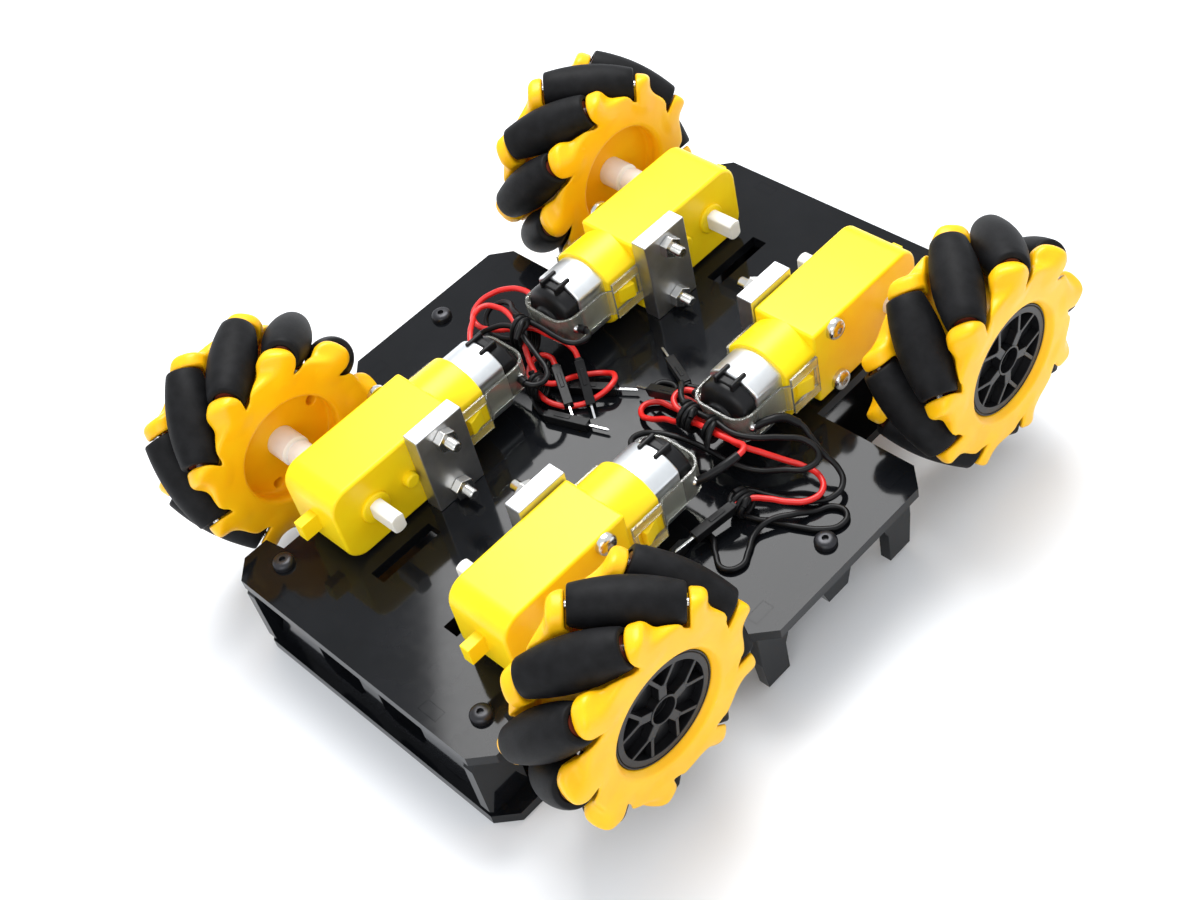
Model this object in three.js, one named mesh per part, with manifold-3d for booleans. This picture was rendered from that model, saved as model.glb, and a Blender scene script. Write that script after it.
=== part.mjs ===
// Four-wheel mecanum robot chassis, standing upside down on its deck plate.
// Frame: millimetres, +Z up, origin on the floor under the centre of the chassis,
// +X to the right (along the wheel axles), +Y towards the front end.
import * as THREE from 'three';
import { mergeVertices } from 'three/addons/utils/BufferGeometryUtils.js';
import Module from 'manifold-3d';

const wasm = await Module();
wasm.setup();

// ---------------------------------------------------------------- driving dimensions
const SHEET = 3;                  // acrylic sheet thickness
const WALL_HEIGHT = 22;           // clear height between the two plates
const HALF_LENGTH = 92;           // both plates, centre to end
const END_HALF_WIDTH = 46;        // both plates at their ends
const BAY_HALF_WIDTH = 40;        // both plates beside the wheels
const BAY_END = 79;               // |y| where the wheel bay ends
const CORNER = 5;                 // corner chamfer
const BULGE_HALF_WIDTH = 74.3;    // motor plate between the wheels
const BULGE_HALF_LENGTH = 30;

const DECK_TOP = SHEET;
const PLATE_BOTTOM = DECK_TOP + WALL_HEIGHT;
const PLATE_TOP = PLATE_BOTTOM + SHEET;

const AXLE_Y = 60.8;              // wheel axle, from the centre
const AXLE_Z = 40;
const MOTOR_X = 29.7;             // middle plane of a gearbox
const GEARBOX_WIDTH = 18.8;
const GEARBOX_HEIGHT = 22.5;
const MOUNT_HOLE_BACK = 20.7;     // gearbox screw holes, from the axle towards the centre
const MOUNT_HOLE_RISE = 8.75;     // above and below the axle
const SHAFT_RADIUS = 2.7;         // its free end, inboard of the gearbox
const SHAFT_NECK = 2.4;           // inside the gearbox and out to the wheel
const SHAFT_HALF = 18.5;          // shaft end to gearbox middle plane

const WHEEL_X = 64;               // middle plane of a wheel
const WHEEL_RADIUS = 30;          // envelope of the rollers
const ROLLERS = 9;
const ROLLER_PITCH_RADIUS = 24;   // roller axis to wheel axis, at the roller's middle
const ROLLER_HALF = 12.2;
const PIN_RADIUS = 1;
const PIN_BORE = 1.5;
const WHEEL_HALF_WIDTH = 12.4;

const RUNNING_GAP = 0.4;          // between pieces that turn on each other
const JOINT_GAP = 0.05;           // round a tab in its slot
const ROOT2 = Math.SQRT2;

// The four corners. Turn is the angle of the first roller, from outboard along +Y towards +Z,
// in the frame of the front right wheel.
const CORNERS = [
  { name: 'front_right', sx: 1, sy: 1, turn: 102 },
  { name: 'front_left', sx: -1, sy: 1, turn: 80 },
  { name: 'rear_left', sx: -1, sy: -1, turn: 88.5 },
  { name: 'rear_right', sx: 1, sy: -1, turn: 102.5 },
];

// ---------------------------------------------------------------- materials
const finish = (color, roughness, metalness = 0) =>
  new THREE.MeshStandardMaterial({ color, roughness, metalness });

const acrylic = finish(0x0b0d10, 0.08);
const gearboxYellow = finish(0xf6c81e, 0.42);
const wheelYellow = finish(0xf8a80c, 0.4);
const rollerRubber = finish(0x17181a, 0.7);
const canSteel = finish(0xb9bcc0, 0.3, 1);
const blockAluminium = finish(0xa9abae, 0.4, 1);
const wireBlack = finish(0x141414, 0.5);

// ---------------------------------------------------------------- solids
function solid(geometry) {
  const bare = geometry.clone();
  bare.deleteAttribute('normal');
  bare.deleteAttribute('uv');
  const merged = mergeVertices(bare, 1e-4);
  return new wasm.Manifold(new wasm.Mesh({
    numProp: 3,
    vertProperties: new Float32Array(merged.attributes.position.array),
    triVerts: new Uint32Array(merged.index.array),
  }));
}

function geometryOf(manifold) {
  const mesh = manifold.getMesh();
  const geometry = new THREE.BufferGeometry();
  geometry.setAttribute('position', new THREE.BufferAttribute(mesh.vertProperties, 3));
  geometry.setIndex(new THREE.BufferAttribute(mesh.triVerts, 1));
  return geometry;
}

const join = (...geometries) => geometries.map(solid).reduce((a, b) => a.add(b));

// Mirrors a piece of the front right corner to another corner, keeping its faces outward.
function atCorner(geometry, { sx, sy }) {
  const copy = geometry.clone();
  copy.scale(sx, sy, 1);
  if (sx * sy < 0) {
    const index = copy.index
      ? copy.index.array
      : Uint32Array.from({ length: copy.attributes.position.count }, (_, i) => i);
    const flipped = index.slice();
    for (let i = 0; i < flipped.length; i += 3) {
      flipped[i + 1] = index[i + 2];
      flipped[i + 2] = index[i + 1];
    }
    copy.setIndex(new THREE.BufferAttribute(flipped, 1));
  }
  return copy;
}

// ---------------------------------------------------------------- outlines and prisms
const outline = (points) => new THREE.Shape(points.map(([u, v]) => new THREE.Vector2(u, v)));

const rectangle = (u0, u1, v0, v1) => [[u0, v0], [u1, v0], [u1, v1], [u0, v1]];

function circle(u, v, radius, sides, phase = 0) {
  return Array.from({ length: sides }, (_, i) => {
    const a = phase + (2 * Math.PI * i) / sides;
    return [u + radius * Math.cos(a), v + radius * Math.sin(a)];
  });
}

// A full outline from its quarter in +x +y, which runs from the +x side to the +y side.
function fromQuarter(quarter) {
  const back = [...quarter].reverse();
  return [
    ...quarter,
    ...back.map(([x, y]) => [-x, y]),
    ...quarter.map(([x, y]) => [-x, -y]),
    ...back.map(([x, y]) => [x, -y]),
  ];
}

function prism(points, depth, holes = []) {
  const extruded = (ring, length) =>
    new THREE.ExtrudeGeometry(outline(ring), { depth: length, bevelEnabled: false });
  const block = extruded(points, depth);
  if (holes.length === 0) return block;
  const cutters = holes.map((hole) => solid(extruded(hole, depth + 2).translate(0, 0, -1)));
  return geometryOf(cutters.reduce((body, cutter) => body.subtract(cutter), solid(block)));
}

// Outline in (y, z), thickness along +X from x0.
function prismAlongX(points, x0, depth, holes = []) {
  const basis = new THREE.Matrix4().makeBasis(
    new THREE.Vector3(0, 1, 0), new THREE.Vector3(0, 0, 1), new THREE.Vector3(1, 0, 0));
  return prism(points, depth, holes).applyMatrix4(basis).translate(x0, 0, 0);
}

// Outline in (x, z), thickness along +Y from y0.
function prismAlongY(points, y0, depth, holes = []) {
  const basis = new THREE.Matrix4().makeBasis(
    new THREE.Vector3(1, 0, 0), new THREE.Vector3(0, 0, 1), new THREE.Vector3(0, -1, 0));
  return prism(points, depth, holes).applyMatrix4(basis).translate(0, y0 + depth, 0);
}

// Outline in (x, y), thickness along +Z from z0.
const prismAlongZ = (points, z0, depth, holes = []) =>
  prism(points, depth, holes).translate(0, 0, z0);

// ---------------------------------------------------------------- plates
const ENCODER_SLOT = { x: 13.2, y: 61.3, width: 4.7, length: 19 };
const END_TAB = { inner: 22.75, outer: 28.55 };          // |x| of the end walls' tabs
const SIDE_TAB = { inner: 21.1, outer: 26.9 };           // |y| of the side walls' tabs
const END_WALL_Y = 86.6;                                 // inner face of an end wall
const SIDE_WALL_X = 66;                                  // inner face of a side wall

const fourWays = (make) => [[1, 1], [-1, 1], [-1, -1], [1, -1]].map(([sx, sy]) => make(sx, sy));

function rectangleAround(x0, x1, y0, y1, sx, sy) {
  const [left, right] = sx > 0 ? [x0, x1] : [-x1, -x0];
  const [low, high] = sy > 0 ? [y0, y1] : [-y1, -y0];
  return rectangle(left, right, low, high);
}

const endTabSlots = () => fourWays((sx, sy) => rectangleAround(
  END_TAB.inner - JOINT_GAP, END_TAB.outer + JOINT_GAP,
  END_WALL_Y - JOINT_GAP, END_WALL_Y + SHEET + JOINT_GAP, sx, sy));

const sideTabSlots = () => fourWays((sx, sy) => rectangleAround(
  SIDE_WALL_X - JOINT_GAP, SIDE_WALL_X + SHEET + JOINT_GAP,
  SIDE_TAB.inner - JOINT_GAP, SIDE_TAB.outer + JOINT_GAP, sx, sy));

const encoderSlots = () => fourWays((sx, sy) => rectangleAround(
  ENCODER_SLOT.x - ENCODER_SLOT.width / 2, ENCODER_SLOT.x + ENCODER_SLOT.width / 2,
  ENCODER_SLOT.y - ENCODER_SLOT.length / 2, ENCODER_SLOT.y + ENCODER_SLOT.length / 2, sx, sy));

const endQuarter = [
  [BAY_HALF_WIDTH, BAY_END],
  [END_HALF_WIDTH, BAY_END + 1],
  [END_HALF_WIDTH, HALF_LENGTH - CORNER],
  [END_HALF_WIDTH - CORNER, HALF_LENGTH],
];

const bulgeQuarter = [
  [BULGE_HALF_WIDTH, BULGE_HALF_LENGTH - CORNER],
  [BULGE_HALF_WIDTH - CORNER, BULGE_HALF_LENGTH],
  [BAY_HALF_WIDTH, BULGE_HALF_LENGTH],
];

const motorPlate = () => prismAlongZ(
  fromQuarter([...bulgeQuarter, ...endQuarter]), PLATE_BOTTOM, SHEET,
  [...endTabSlots(), ...sideTabSlots(), ...encoderSlots()]);

const deckPlate = () => prismAlongZ(fromQuarter(endQuarter), 0, SHEET, endTabSlots());

// ---------------------------------------------------------------- walls between the plates
const CHEEK_INNER = 38.5;         // |x| of the corner cheeks' inner face
const WINDOW = { inner: 3.5, outer: 19, low: 7, high: 22, corner: 3 };

function chamferedRectangle(u0, u1, v0, v1, c) {
  return [[u0 + c, v0], [u1 - c, v0], [u1, v0 + c], [u1, v1 - c],
    [u1 - c, v1], [u0 + c, v1], [u0, v1 - c], [u0, v0 + c]];
}

function endWall() {
  const half = [
    [CHEEK_INNER + SHEET, DECK_TOP], [CHEEK_INNER + SHEET, PLATE_BOTTOM],
    [END_TAB.outer, PLATE_BOTTOM], [END_TAB.outer, PLATE_TOP],
    [END_TAB.inner, PLATE_TOP], [END_TAB.inner, PLATE_BOTTOM],
  ];
  const lower = [
    [END_TAB.inner, DECK_TOP], [END_TAB.inner, 0], [END_TAB.outer, 0], [END_TAB.outer, DECK_TOP],
  ];
  const mirrored = (points) => [...points].reverse().map(([x, z]) => [-x, z]);
  const window = chamferedRectangle(
    WINDOW.inner, WINDOW.outer, WINDOW.low, WINDOW.high, WINDOW.corner);
  // The corner window leaves only a slanted foot on the wall beside each cheek.
  const cornerWindow = [
    [CHEEK_INNER, 6.3], [CHEEK_INNER, 23], [35.2, 23], [33.4, 21], [33.4, 15.8]];
  const wall = prismAlongY(
    [...half, ...mirrored(half), ...mirrored(lower), ...lower], END_WALL_Y, SHEET,
    [window, mirrored(window), cornerWindow, mirrored(cornerWindow)]);
  const cheek = [
    [BAY_END + 1, DECK_TOP], [90.2, DECK_TOP], [HALF_LENGTH, 5.5],
    [HALF_LENGTH, 22.5], [90.2, PLATE_BOTTOM], [BAY_END + 1, PLATE_BOTTOM]];
  return geometryOf(join(
    wall,
    prismAlongX(cheek, CHEEK_INNER, SHEET),
    prismAlongX(cheek, -CHEEK_INNER - SHEET, SHEET)));
}

const LEG = { inner: 19.2, outer: 27.7, bottom: 2.5 };
const BOSS = { half: 3.5, bottom: 10.5 };
const BEAM_BOTTOM = 16;

function sideWall() {
  const arch = circle((BOSS.half + LEG.inner) / 2, BEAM_BOTTOM - 2, 6.4, 12)
    .filter(([, z]) => z > BEAM_BOTTOM - 2 + 0.1)
    .reverse();
  const half = [
    [BOSS.half, BOSS.bottom], ...arch, [LEG.inner, 12], [LEG.inner, LEG.bottom],
    [LEG.outer - 1, LEG.bottom], [LEG.outer, 12], [LEG.outer, PLATE_BOTTOM],
    [SIDE_TAB.outer, PLATE_BOTTOM], [SIDE_TAB.outer, PLATE_TOP],
    [SIDE_TAB.inner, PLATE_TOP], [SIDE_TAB.inner, PLATE_BOTTOM],
  ];
  const points = [...half, ...[...half].reverse().map(([y, z]) => [-y, z])];
  return prismAlongX(points, SIDE_WALL_X, SHEET);
}

// ---------------------------------------------------------------- gear motor
const MOTOR = {
  front: AXLE_Y + 11.2,           // rounded end beyond the axle
  boxBack: AXLE_Y - 28,
  neckBack: AXLE_Y - 38.3,
  canBack: AXLE_Y - 47.2,
  capBack: AXLE_Y - 53.5,
};
const CAN_RADIUS = 10.05;
const CAN_FLATS = 15.1;
const CAP_RADIUS = 8.8;

// Round section in (x, z) about the motor's axis, cut by two vertical flats.
function flattedRound(radius, flats, sides) {
  return circle(0, 0, radius, sides, Math.PI / sides)
    .map(([x, z]) => [MOTOR_X + Math.max(-flats / 2, Math.min(flats / 2, x)), AXLE_Z + z]);
}

const mountHoles = () => [-1, 1].map((s) => [AXLE_Y - MOUNT_HOLE_BACK, AXLE_Z + s * MOUNT_HOLE_RISE]);

function gearbox() {
  const low = AXLE_Z - GEARBOX_HEIGHT / 2;
  const high = AXLE_Z + GEARBOX_HEIGHT / 2;
  const r = 5.5;
  const roundCorner = (y, z, from) => [0, 1, 2, 3].map((i) => {
    const a = from + (i * Math.PI) / 6;
    return [y + r * Math.cos(a), z + r * Math.sin(a)];
  });
  const box = prismAlongX([
    [MOTOR.boxBack, low],
    ...roundCorner(MOTOR.front - r, low + r, -Math.PI / 2),
    ...roundCorner(MOTOR.front - r, high - r, 0),
    [MOTOR.boxBack, high],
  ], MOTOR_X - GEARBOX_WIDTH / 2, GEARBOX_WIDTH, [
    circle(AXLE_Y, AXLE_Z, SHAFT_RADIUS + RUNNING_GAP, 12),
    ...mountHoles().map(([y, z]) => circle(y, z, 1.8, 8)),
  ]);
  const neck = prismAlongY(
    flattedRound(GEARBOX_HEIGHT / 2, GEARBOX_WIDTH - 0.4, 20), MOTOR.neckBack,
    MOTOR.boxBack - MOTOR.neckBack + 1);
  const tab = prismAlongX(
    rectangle(MOTOR.front - 1, MOTOR.front + 5, AXLE_Z - 2.6, AXLE_Z + 2.6), MOTOR_X - 1.5, 3);
  const boss = prismAlongX(
    circle(AXLE_Y - 11, AXLE_Z, 2, 10), MOTOR_X - GEARBOX_WIDTH / 2 - 2, 3);
  return geometryOf(join(box, neck, tab, boss));
}

function motorCan() {
  const can = prismAlongY(
    flattedRound(CAN_RADIUS, CAN_FLATS, 20), MOTOR.canBack, MOTOR.neckBack - MOTOR.canBack);
  const cap = prismAlongY(
    flattedRound(CAP_RADIUS, CAN_FLATS - 1, 16), MOTOR.capBack, MOTOR.canBack - MOTOR.capBack + 1);
  return geometryOf(join(can, cap));
}

// ---------------------------------------------------------------- mount block with its screws
const BLOCK = {
  x0: MOTOR_X - GEARBOX_WIDTH / 2 - 5, thickness: 5, y0: AXLE_Y - 28.2, y1: AXLE_Y - 13.4, height: 25,
};
const SCREW = { radius: 1.4, headRadius: 2.8, headHeight: 2, nutRadius: 3.17, nutHeight: 2.4, tip: 20 };

function mountBlock() {
  const outerFace = MOTOR_X + GEARBOX_WIDTH / 2;
  const pieces = [prismAlongX(
    rectangle(BLOCK.y0, BLOCK.y1, PLATE_TOP, PLATE_TOP + BLOCK.height), BLOCK.x0, BLOCK.thickness)];
  for (const [y, z] of mountHoles()) {
    const tip = MOTOR_X - SCREW.tip;
    pieces.push(
      prismAlongX(circle(y, z, SCREW.radius, 8), tip, outerFace - tip + 1),
      prismAlongX(circle(y, z, SCREW.headRadius, 10), outerFace + 0.05, SCREW.headHeight),
      prismAlongX(circle(y, z, SCREW.nutRadius, 6), BLOCK.x0 - SCREW.nutHeight, SCREW.nutHeight + 1));
  }
  return geometryOf(join(...pieces));
}

// ---------------------------------------------------------------- mecanum wheel
// A roller's radius at distance s along its axis, so that all rollers share one envelope.
function rollerRadius(s) {
  const reach = Math.hypot(ROLLER_PITCH_RADIUS, s / ROOT2);
  return (WHEEL_RADIUS - reach) * Math.sqrt(1 - (s * s) / (4 * reach * reach));
}

// The matrix that lays a lathe (axis +Y) on roller number i of the front right wheel.
function rollerPlace(turn, i) {
  const angle = THREE.MathUtils.degToRad(turn + (360 / ROLLERS) * i);
  const radial = new THREE.Vector3(0, Math.cos(angle), Math.sin(angle));
  const tangent = new THREE.Vector3(0, -Math.sin(angle), Math.cos(angle));
  const axis = new THREE.Vector3(1, 0, 0).add(tangent).normalize();
  const side = new THREE.Vector3().crossVectors(radial, axis);
  return new THREE.Matrix4().makeBasis(radial, axis, side)
    .setPosition(WHEEL_X, AXLE_Y + ROLLER_PITCH_RADIUS * radial.y,
      AXLE_Z + ROLLER_PITCH_RADIUS * radial.z);
}

const lathe = (profile, segments) =>
  new THREE.LatheGeometry(profile.map(([r, y]) => new THREE.Vector2(r, y)), segments);

function roller(turn, i) {
  const stations = [-1, -0.55, 0, 0.55, 1].map((k) => k * ROLLER_HALF);
  const profile = [
    [PIN_BORE, -ROLLER_HALF], ...stations.map((s) => [rollerRadius(s), s]),
    [PIN_BORE, ROLLER_HALF], [PIN_BORE, -ROLLER_HALF]];
  return lathe(profile, 9).applyMatrix4(rollerPlace(turn, i));
}

function rollerPocket(turn, i) {
  const half = ROLLER_HALF + RUNNING_GAP;
  const profile = [
    [0, -half], [rollerRadius(half) + 1, -half], [rollerRadius(0) + 0.95, 0],
    [rollerRadius(half) + 1, half], [0, half]];
  return lathe(profile, 8).applyMatrix4(rollerPlace(turn, i));
}

const rollerPin = (turn, i) =>
  lathe([[0, -14.5], [PIN_RADIUS, -14.5], [PIN_RADIUS, 14.5], [0, 14.5]], 5)
    .applyMatrix4(rollerPlace(turn, i));

const PETAL = {
  root: 20.8, tip: 28.6, plate: 3.6, drum: 17.2, bore: 14.8, boreDepth: 6, hubRecess: 2,
};
const SLEEVE = { radius: 4.1, start: 45.5 };       // coupling sleeve between gearbox and wheel

// Outline in (y, z) of one face of the wheel: nine petals that cover the rollers' ends.
function petalOutline(turn, shift) {
  const pitch = 360 / ROLLERS;
  const knots = [[-0.5, 0], [-0.3, 0.62], [-0.13, 1], [0.13, 1], [0.3, 0.62]];
  const points = [];
  for (let i = 0; i < ROLLERS; i += 1) {
    for (const [k, rise] of knots) {
      const a = THREE.MathUtils.degToRad(turn + shift + pitch * (i + k));
      const r = PETAL.root + (PETAL.tip - PETAL.root) * rise;
      points.push([AXLE_Y + r * Math.cos(a), AXLE_Z + r * Math.sin(a)]);
    }
  }
  return points;
}

function wheelFrame(turn) {
  const outer = WHEEL_X + WHEEL_HALF_WIDTH;
  const inner = WHEEL_X - WHEEL_HALF_WIDTH;
  const shift = THREE.MathUtils.radToDeg(Math.atan2(14.6 / ROOT2, ROLLER_PITCH_RADIUS));
  const ring = (r, sides) => circle(AXLE_Y, AXLE_Z, r, sides);
  const rollerIndex = Array.from({ length: ROLLERS }, (_, i) => i);
  const pockets = rollerIndex.map((i) => solid(rollerPocket(turn, i))).reduce((a, b) => a.add(b));
  const bore = solid(prismAlongX(ring(PETAL.bore, 24), inner - 1, PETAL.boreDepth + 1))
    .add(solid(prismAlongX(ring(PETAL.bore, 24), outer - PETAL.hubRecess, PETAL.hubRecess + 1)));
  const faces = join(
    prismAlongX(petalOutline(turn, shift), outer - PETAL.plate, PETAL.plate),
    prismAlongX(petalOutline(turn, -shift), inner, PETAL.plate),
    prismAlongX(ring(PETAL.drum, 24), inner + 1, 2 * WHEEL_HALF_WIDTH - 2));
  let body = faces.subtract(pockets).subtract(bore);
  for (const i of rollerIndex) body = body.add(solid(rollerPin(turn, i)));
  const boreEnd = inner + PETAL.boreDepth;
  const shaftEnd = MOTOR_X - SHAFT_HALF;
  body = body
    .add(solid(prismAlongX(ring(SLEEVE.radius, 12), SLEEVE.start, boreEnd - SLEEVE.start + 1)))
    .add(solid(prismAlongX(ring(SHAFT_NECK, 10), shaftEnd + 1, SLEEVE.start - shaftEnd)))
    .add(solid(prismAlongX(ring(SHAFT_RADIUS, 20), shaftEnd, MOTOR_X - GEARBOX_WIDTH / 2 - shaftEnd)));
  return geometryOf(body);
}

// ---------------------------------------------------------------- tied wire bundles
const BUNDLE = { gap: 0.3, height: 13 };
const rightBundle = [
  [3, 3], [17, -5.5], [41, -6.6], [46, -14], [57, -13], [66, -4], [67, 9], [60, 15], [44, 14],
  [41, 6.6], [19, 6.6], [17, 19], [4, 18]];
const leftBundle = [
  [-57, -3], [-44, -5], [-41, -6.6], [-19.5, -6.6], [-17, -13], [-7, -13], [-1.5, -3], [-3, 8],
  [-19.5, 6.6], [-41, 6.6], [-43, 12], [-52, 13], [-57, 8]];

const bundle = (points) => prismAlongZ(points, PLATE_TOP + BUNDLE.gap, BUNDLE.height);

// ---------------------------------------------------------------- assembly
const group = new THREE.Group();

function add(name, geometry, material) {
  const mesh = new THREE.Mesh(geometry, material);
  mesh.name = name;
  group.add(mesh);
}

add('motor_plate', motorPlate(), acrylic);
add('deck_plate', deckPlate(), acrylic);
add('end_wall_front', endWall(), acrylic);
add('end_wall_rear', atCorner(endWall(), { sx: 1, sy: -1 }), acrylic);
add('side_wall_right', sideWall(), acrylic);
add('side_wall_left', atCorner(sideWall(), { sx: -1, sy: 1 }), acrylic);

for (const corner of CORNERS) {
  const { name, turn } = corner;
  add(`gearbox_${name}`, atCorner(gearbox(), corner), gearboxYellow);
  add(`motor_can_${name}`, atCorner(motorCan(), corner), canSteel);
  add(`mount_block_${name}`, atCorner(mountBlock(), corner), blockAluminium);
  add(`wheel_frame_${name}`, atCorner(wheelFrame(turn), corner), wheelYellow);
  for (let i = 0; i < ROLLERS; i += 1) {
    add(`roller_${name}_${i + 1}`, atCorner(roller(turn, i), corner), rollerRubber);
  }
}

add('wire_bundle_right', bundle(rightBundle), wireBlack);
add('wire_bundle_left', bundle(leftBundle), wireBlack);

export default group;
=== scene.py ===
"""Four-wheel mecanum robot chassis: the looks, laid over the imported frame.

Lengths here are millimetres in the row frame; place() turns them into metres. Pieces of a corner
are drawn once for the front right corner and mirrored to the other three.
"""
import math

import bmesh
import bpy
import numpy as np
from mathutils import Matrix, Vector


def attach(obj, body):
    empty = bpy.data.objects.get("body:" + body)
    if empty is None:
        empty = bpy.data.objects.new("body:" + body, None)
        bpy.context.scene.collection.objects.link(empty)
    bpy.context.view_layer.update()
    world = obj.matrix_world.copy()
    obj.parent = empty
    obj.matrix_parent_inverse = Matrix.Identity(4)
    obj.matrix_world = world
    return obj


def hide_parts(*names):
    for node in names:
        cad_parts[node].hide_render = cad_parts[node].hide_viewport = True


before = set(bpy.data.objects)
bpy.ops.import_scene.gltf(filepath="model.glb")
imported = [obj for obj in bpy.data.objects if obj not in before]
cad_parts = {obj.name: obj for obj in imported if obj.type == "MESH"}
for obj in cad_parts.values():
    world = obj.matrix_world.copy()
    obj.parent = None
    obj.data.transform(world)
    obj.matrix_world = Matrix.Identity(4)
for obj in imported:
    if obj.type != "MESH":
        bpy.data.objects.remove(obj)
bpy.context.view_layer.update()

MM = 0.001

# ---------------------------------------------------------------- dimensions, as in the CAD
PLATE_TOP = 28.0
AXLE_Y = 60.8
AXLE_Z = 40.0
MOTOR_X = 29.7
GEARBOX_WIDTH = 18.8
GEARBOX_HEIGHT = 22.5
OUTER_FACE = MOTOR_X + GEARBOX_WIDTH / 2
INNER_FACE = MOTOR_X - GEARBOX_WIDTH / 2
WHEEL_X = 64.0
WHEEL_RADIUS = 30.0
ROLLERS = 9
PITCH_RADIUS = 24.0
ROLLER_HALF = 12.2
SCREW_BACK = 20.7
SCREW_RISE = 8.75
ROOT2 = math.sqrt(2)

# Each corner's side in X and Y, and its wheel's turn in degrees.
CORNERS = {
    "front_right": (1, 1, 102.0),
    "front_left": (-1, 1, 80.0),
    "rear_left": (-1, -1, 88.5),
    "rear_right": (1, -1, 102.5),
}


# ---------------------------------------------------------------- materials
def material(name):
    mat = bpy.data.materials.new(name)
    mat.use_nodes = True
    nodes = mat.node_tree.nodes
    return mat, nodes, mat.node_tree.links, nodes["Principled BSDF"]


def noise(nodes, links, scale, detail=4.0, stretch=(1, 1, 1)):
    coords = nodes.new("ShaderNodeTexCoord")
    mapping = nodes.new("ShaderNodeMapping")
    mapping.inputs["Scale"].default_value = stretch
    texture = nodes.new("ShaderNodeTexNoise")
    texture.inputs["Scale"].default_value = scale
    texture.inputs["Detail"].default_value = detail
    links.new(coords.outputs["Object"], mapping.inputs["Vector"])
    links.new(mapping.outputs["Vector"], texture.inputs["Vector"])
    return texture.outputs["Fac"]


def ramp(nodes, links, value, low, high, start=0.35, end=0.65):
    node = nodes.new("ShaderNodeValToRGB")
    node.color_ramp.elements[0].position = start
    node.color_ramp.elements[1].position = end
    node.color_ramp.elements[0].color = (*low, 1)
    node.color_ramp.elements[1].color = (*high, 1)
    links.new(value, node.inputs["Fac"])
    return node.outputs["Color"]


def bump(nodes, links, shader, height, strength, distance):
    node = nodes.new("ShaderNodeBump")
    node.inputs["Strength"].default_value = strength
    node.inputs["Distance"].default_value = distance
    links.new(height, node.inputs["Height"])
    links.new(node.outputs["Normal"], shader.inputs["Normal"])


def finish_of(name, low, high, rough, scale=180, grain=1500, relief=0.00002, strength=0.25,
              metallic=0.0, stretch=(1, 1, 1), **sockets):
    """A material with mottled colour, uneven roughness and a fine surface grain."""
    mat, nodes, links, shader = material(name)
    mottle = noise(nodes, links, scale, 5.0)
    links.new(ramp(nodes, links, mottle, low, high), shader.inputs["Base Color"])
    uneven = nodes.new("ShaderNodeMapRange")
    uneven.inputs["To Min"].default_value = rough[0]
    uneven.inputs["To Max"].default_value = rough[1]
    fine = noise(nodes, links, grain, 6.0, stretch)
    links.new(fine, uneven.inputs["Value"])
    links.new(uneven.outputs["Result"], shader.inputs["Roughness"])
    bump(nodes, links, shader, fine, strength, relief)
    shader.inputs["Metallic"].default_value = metallic
    for socket, value in sockets.items():
        shader.inputs[socket.replace("_", " ")].default_value = value
    return mat


ACRYLIC = finish_of("black_acrylic", (0.004, 0.0045, 0.0055), (0.006, 0.0065, 0.008), (0.05, 0.11),
                    scale=60, grain=400, strength=0.02, IOR=1.49, Specular_IOR_Level=0.2)
GEARBOX = finish_of("gearbox_plastic", (0.98, 0.67, 0.005), (1.0, 0.73, 0.008), (0.28, 0.42),
                    scale=120, grain=2600, strength=0.18, Specular_IOR_Level=0.3, Subsurface_Weight=0.1,
                    Subsurface_Radius=(0.004, 0.0022, 0.0004), Subsurface_Scale=1.0, IOR=1.53)
SPIDER = finish_of("wheel_plastic", (1.0, 0.49, 0.003), (1.0, 0.54, 0.005), (0.26, 0.40),
                   scale=120, grain=2600, strength=0.15, Specular_IOR_Level=0.28, Subsurface_Weight=0.1,
                   Subsurface_Radius=(0.004, 0.0018, 0.0003), Subsurface_Scale=1.0, IOR=1.53)
RUBBER = finish_of("roller_rubber", (0.004, 0.004, 0.0045), (0.008, 0.008, 0.009), (0.50, 0.66),
                   scale=300, grain=3000, strength=0.35, relief=0.00004, Specular_IOR_Level=0.14)
CORE = finish_of("roller_core", (0.09, 0.014, 0.006), (0.13, 0.02, 0.008), (0.35, 0.5))
INSERT = finish_of("hub_insert", (0.005, 0.005, 0.006), (0.010, 0.010, 0.011), (0.25, 0.4),
                   Specular_IOR_Level=0.3)
NYLON = finish_of("nylon", (0.80, 0.79, 0.76), (0.86, 0.85, 0.82), (0.3, 0.45),
                  Subsurface_Weight=0.3, Subsurface_Radius=(0.003, 0.003, 0.0025),
                  Subsurface_Scale=1.0)
ZINC = finish_of("motor_steel", (0.74, 0.76, 0.77), (0.82, 0.84, 0.85), (0.3, 0.42),
                 metallic=1.0, grain=2200, stretch=(0.05, 1, 1))
ALUMINIUM = finish_of("aluminium", (0.52, 0.53, 0.55), (0.62, 0.63, 0.65), (0.32, 0.48),
                      metallic=1.0, grain=2600, stretch=(1, 1, 0.04))
NICKEL = finish_of("nickel", (0.62, 0.61, 0.58), (0.72, 0.71, 0.68), (0.16, 0.28), metallic=1.0)
BLACK_STEEL = finish_of("black_steel", (0.02, 0.02, 0.022), (0.035, 0.035, 0.04), (0.25, 0.4),
                        metallic=0.6)
CAP = finish_of("cap_plastic", (0.004, 0.004, 0.0045), (0.008, 0.008, 0.009), (0.3, 0.45),
                Specular_IOR_Level=0.22)
WIRE_RED = finish_of("wire_red", (0.62, 0.010, 0.008), (0.74, 0.018, 0.014), (0.28, 0.42))
WIRE_BLACK = finish_of("wire_black", (0.003, 0.003, 0.0034), (0.006, 0.006, 0.0065), (0.3, 0.44),
                       Specular_IOR_Level=0.22)
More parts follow.
